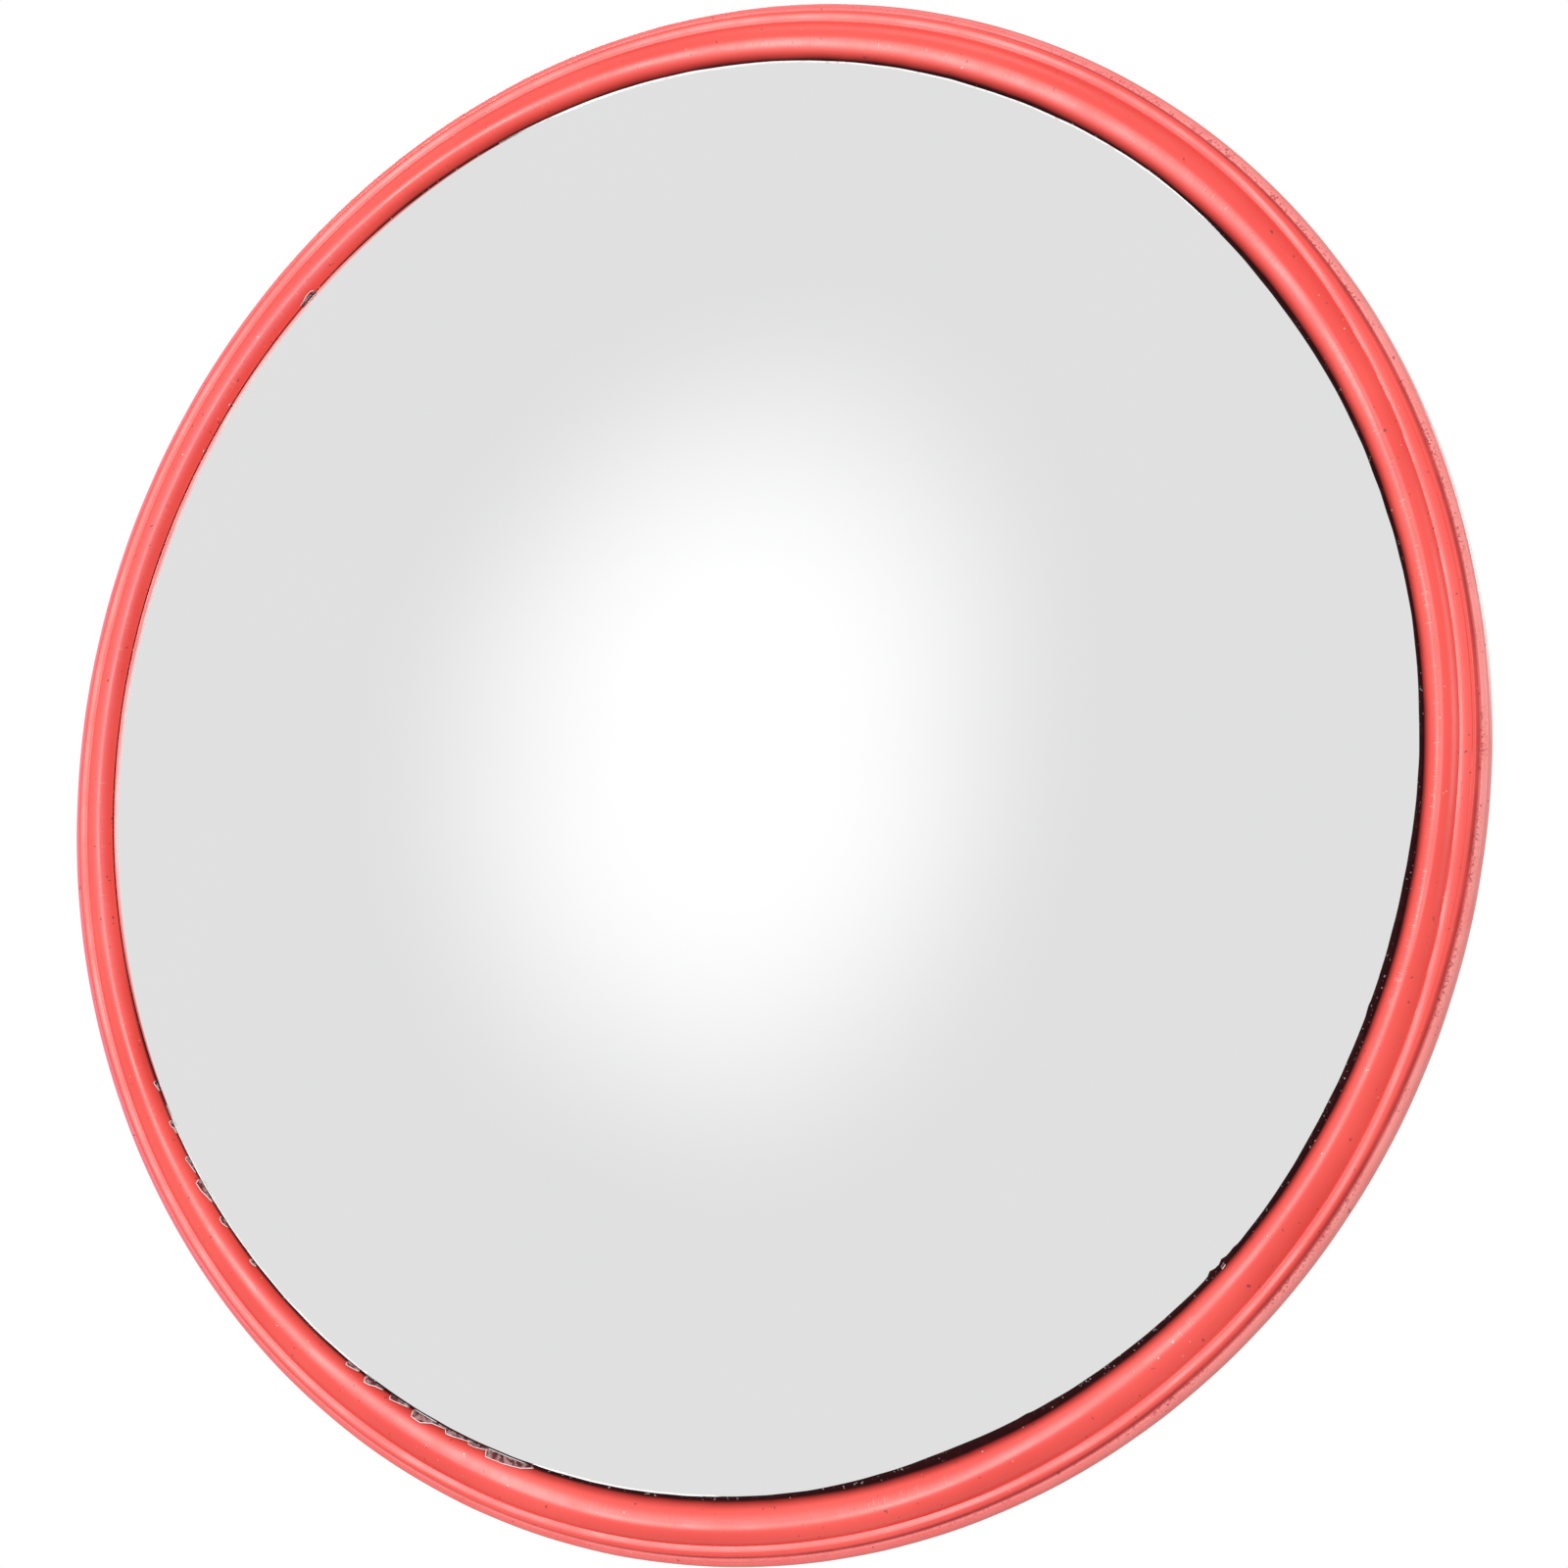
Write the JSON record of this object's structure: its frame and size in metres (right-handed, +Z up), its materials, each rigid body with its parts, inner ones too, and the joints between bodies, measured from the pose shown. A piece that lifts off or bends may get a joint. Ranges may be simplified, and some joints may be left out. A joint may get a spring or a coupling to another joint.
{
  "type": "traffic convex mirror",
  "caption": "Round domed safety mirror with a red push-on edge trim, a ribbed rear shell and a wall bracket that pans and tilts it.",
  "frame": {"origin": "centre of the wall plate's back face, which lies on the wall", "axes": "+Z up, +Y into the wall, the mirror faces -Y at rest"},
  "size_m": [0.6, 0.3337, 0.6],
  "materials": {
    "mirror_face": "domed mirrored plastic, polished",
    "trim_pvc": "coral red soft plastic, glossy, faintly wrinkled",
    "shell_plastic": "coral red moulded plastic, satin",
    "black_paint": "black powder coat, fine orange peel",
    "zinc": "bright zinc plated",
    "bare_steel": "mill finish",
    "nylon": "natural nylon",
    "gasket_rubber": "matt foam rubber"
  },
  "bodies": {
    "wall_bracket": {"wall_plate": "black_paint", "wall_ears": "black_paint", "pan_bolt": "zinc", "pan_nut": "zinc", "pan_washers": "zinc", "pan_spring_washer": "zinc"},
    "arm": {"pan_barrel": "black_paint", "pan_bushes": "nylon", "arm_tube": "black_paint", "tilt_barrel": "black_paint", "tilt_bushes": "nylon"},
    "head": {"yoke_ears": "black_paint", "yoke_plate": "black_paint", "yoke_gasket": "gasket_rubber", "stiffener_plate": "bare_steel", "yoke_bolts": "zinc", "yoke_washers": "zinc", "yoke_spring_washers": "zinc", "weld_nuts": "bare_steel", "back_shell": "shell_plastic", "seal_ring": "gasket_rubber", "mirror": "mirror_face", "edge_trim": "trim_pvc", "tilt_bolt": "zinc", "tilt_nut": "zinc", "tilt_washers": "zinc", "tilt_spring_washer": "zinc"}
  },
  "joints": [
    {"name": "pan", "type": "hinge", "parent": "wall_bracket", "child": "arm", "pos_m": [0, -0.04, 0], "axis": [0, 0, 1], "range_deg": [-40, 40]},
    {"name": "tilt", "type": "hinge", "parent": "arm", "child": "head", "pos_m": [0, -0.18, 0], "axis": [1, 0, 0], "range_deg": [-20, 35]}
  ]
}
